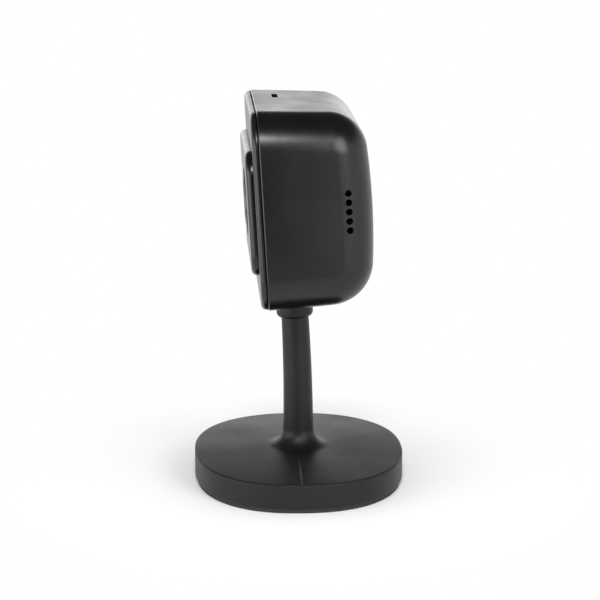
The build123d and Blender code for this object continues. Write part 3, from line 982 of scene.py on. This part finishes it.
@dataclass(frozen=True)
class Lamp:
    """A soft rectangular lamp that faces the head, with its sizes in metres."""

    name: str
    turn_deg: float  # its direction from the head, from +X towards +Y
    rise_deg: float  # how far above level it stands, seen from the head
    reach: float  # its distance from the head
    size: tuple[float, float]
    watts: float

    def build(self, target: Vector) -> None:
        """Hang the lamp.

        Args:
            target: the point that it faces, in metres.
        """
        data = bpy.data.lights.new(self.name, "AREA")
        data.shape = "RECTANGLE"
        data.size, data.size_y = self.size
        data.energy = self.watts
        obj = bpy.data.objects.new(self.name, data)
        turn, rise = math.radians(self.turn_deg), math.radians(self.rise_deg)
        away = Vector((math.cos(turn) * math.cos(rise), math.sin(turn) * math.cos(rise), math.sin(rise)))
        obj.location = target + away * self.reach
        obj.rotation_euler = (-away).to_track_quat("-Z", "Y").to_euler()
        bpy.context.scene.collection.objects.link(obj)


class Lamps(Enum):
    """Every lamp in the studio."""

    # Small and high on the viewer's side: the band along the head's upper edge, and the light on the floor.
    FRONT = Lamp("front_softbox", turn_deg=-4.0, rise_deg=37.0, reach=0.6, size=(0.12, 0.13), watts=1.9)
    # Large, nearer the head's back: the glow on the housing's upper back corner.
    SIDE = Lamp("side_softbox", turn_deg=35.0, rise_deg=19.0, reach=0.7, size=(0.34, 0.44), watts=2.3)
    # Wide and low on the far side: the pale sheen on the tops of the head and the foot.
    REAR = Lamp("rear_softbox", turn_deg=180.0, rise_deg=5.0, reach=0.8, size=(1.0, 0.2), watts=0.8)
    # Wide sheet before the lens: the thin lines down the side of the front, and one down the neck.
    LENS = Lamp("lens_softbox", turn_deg=-64.0, rise_deg=0.0, reach=0.75, size=(0.9, 0.5), watts=4.1)


@dataclass
class Studio:
    """Pale floor, white surround, soft lamps and the camera."""

    camera_mm: tuple[float, float, float] = (498.7, -28.3, 168.1)
    camera_turn_deg: float = 86.70
    camera_dip_deg: float = 13.62
    lens_mm: float = 120.0
    sensor_mm: float = 36.0
    clip_m: tuple[float, float] = (0.01, 100.0)
    floor_radius_m: float = 0.25
    floor_segments: int = 64
    floor_colour: str = "#f2f2f2"
    floor_fade_mm: tuple[float, float] = (36.0, 80.0)
    ambient: float = 0.66
    near_y: tuple[float, float] = (0.06, 0.45)  # from the lens side to the back, on the near side
    near_level: tuple[float, float] = (0.03, 1.05)
    behind_x: tuple[float, float] = (0.7, -0.1)  # from the near side to the white far side
    above_z: tuple[float, float] = (0.15, 0.5)
    above_level: tuple[float, float] = (1.0, 0.08)
    target_mm: tuple[float, float, float] = (20.0, 0.0, 80.0)

    def camera(self) -> None:
        """Set the camera where the photograph was taken from."""
        turn, dip = math.radians(self.camera_turn_deg), math.radians(self.camera_dip_deg)
        ahead = Vector((-math.sin(turn) * math.cos(dip), math.cos(turn) * math.cos(dip), -math.sin(dip)))
        right = Vector((math.cos(turn), math.sin(turn), 0.0))
        up = right.cross(ahead)
        data = bpy.data.cameras.new("camera")
        data.lens = self.lens_mm
        data.sensor_width = self.sensor_mm
        data.clip_start, data.clip_end = self.clip_m
        obj = bpy.data.objects.new("camera", data)
        matrix = Matrix((right, up, -ahead)).transposed().to_4x4()
        obj.matrix_world = Matrix.Translation(Vector(self.camera_mm) * MM) @ matrix
        bpy.context.scene.collection.objects.link(obj)
        bpy.context.scene.camera = obj

    def mirrored(self, tree: bpy.types.NodeTree) -> bpy.types.NodeSocket:
        """Share of rays that show the surround in or through a surface: glossy and transmission rays.

        Args:
            tree: node tree that asks.

        Returns:
            1 on such a ray and 0 on others.
        """
        path = add_node(tree, "ShaderNodeLightPath").outputs
        return add_node(
            tree,
            "ShaderNodeMath",
            {0: path["Is Glossy Ray"], 1: path["Is Transmission Ray"]},
            operation="MAXIMUM",
        ).outputs[0]

    def reflected(self, tree: bpy.types.NodeTree) -> bpy.types.NodeSocket:
        """Level of the surround in reflections: white behind, dim on the near side, dark overhead.

        Args:
            tree: node tree of the world.

        Returns:
            The level by direction.
        """
        way = add_node(tree, "ShaderNodeTexCoord").outputs["Generated"]
        part = add_node(tree, "ShaderNodeSeparateXYZ", {"Vector": way}).outputs
        near = add_node(
            tree,
            "ShaderNodeMapRange",
            {
                "Value": part["Y"],
                "From Min": self.near_y[0],
                "From Max": self.near_y[1],
                "To Min": self.near_level[0],
                "To Max": self.near_level[1],
            },
            interpolation_type="SMOOTHSTEP",
        ).outputs["Result"]
        behind = add_node(
            tree,
            "ShaderNodeMapRange",
            {"Value": part["X"], "From Min": self.behind_x[0], "From Max": self.behind_x[1]},
            interpolation_type="SMOOTHSTEP",
        ).outputs["Result"]
        level = add_node(tree, "ShaderNodeMix", {0: behind, 2: near, 3: 1.0}).outputs[0]
        above = add_node(
            tree,
            "ShaderNodeMapRange",
            {
                "Value": part["Z"],
                "From Min": self.above_z[0],
                "From Max": self.above_z[1],
                "To Min": self.above_level[0],
                "To Max": self.above_level[1],
            },
            interpolation_type="SMOOTHSTEP",
        ).outputs["Result"]
        return add_node(tree, "ShaderNodeMath", {0: level, 1: above}, operation="MULTIPLY").outputs[0]

    def world(self) -> None:
        """White surround for the camera, its studio for reflections and a plain level of light."""
        world = bpy.data.worlds.new("surround")
        bpy.context.scene.world = world
        world.use_nodes = True
        tree = world.node_tree
        tree.nodes.clear()
        level = add_node(
            tree, "ShaderNodeMix", {0: self.mirrored(tree), 2: self.ambient, 3: self.reflected(tree)}
        ).outputs[0]
        path = add_node(tree, "ShaderNodeLightPath").outputs
        level = add_node(tree, "ShaderNodeMix", {0: path["Is Camera Ray"], 2: level, 3: 1.0}).outputs[0]
        shader = add_node(
            tree, "ShaderNodeBackground", {"Color": (1.0, 1.0, 1.0, 1.0), "Strength": level}
        ).outputs["Background"]
        add_node(tree, "ShaderNodeOutputWorld", {"Surface": shader})

    def floor(self) -> None:
        """Pale floor that keeps the contact shadow and fades into the surround."""
        bm = bmesh.new()
        bmesh.ops.create_circle(bm, cap_ends=True, segments=self.floor_segments, radius=self.floor_radius_m)
        obj = make_object("floor", bm)
        material = bpy.data.materials.new("pale_floor")
        material.use_nodes = True
        tree = material.node_tree
        tree.nodes.clear()
        place = add_node(tree, "ShaderNodeTexCoord").outputs["Object"]
        reach = add_node(tree, "ShaderNodeVectorMath", {0: place}, operation="LENGTH").outputs["Value"]
        fade = add_node(
            tree,
            "ShaderNodeMapRange",
            {
                "Value": reach,
                "From Min": self.floor_fade_mm[0] * MM,
                "From Max": self.floor_fade_mm[1] * MM,
            },
            interpolation_type="SMOOTHSTEP",
        ).outputs["Result"]
        path = add_node(tree, "ShaderNodeLightPath").outputs
        seen = add_node(
            tree, "ShaderNodeMath", {0: path["Is Camera Ray"], 1: self.mirrored(tree)}, operation="MAXIMUM"
        ).outputs[0]
        share = add_node(tree, "ShaderNodeMath", {0: fade, 1: seen}, operation="MULTIPLY").outputs[0]
        matt = add_node(tree, "ShaderNodeBsdfDiffuse", {"Color": linear(self.floor_colour)}).outputs["BSDF"]
        white = add_node(tree, "ShaderNodeEmission", {"Strength": 1.0}).outputs["Emission"]
        mixed = add_node(tree, "ShaderNodeMixShader", {0: share, 1: matt, 2: white}).outputs["Shader"]
        add_node(tree, "ShaderNodeOutputMaterial", {"Surface": mixed})
        obj.data.materials.append(material)

    def build(self) -> None:
        """Set up the whole studio."""
        self.camera()
        self.world()
        self.floor()
        for lamp in Lamps:
            lamp.value.build(Vector(self.target_mm) * MM)
        bpy.context.scene.view_settings.view_transform = "Standard"


def main() -> None:
    """Load the frame, build and dress every sub-assembly, and light it."""
    logging.basicConfig(level=logging.INFO, format="%(message)s")
    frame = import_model()
    wardrobe = Wardrobe()
    line = NeckLine()
    Foot().build(wardrobe, frame["nodes"])
    Neck(line).build(wardrobe, frame["nodes"])
    Head(line).build(wardrobe, frame["nodes"])
    Studio().build()


if __name__ == "__main__":
    main()
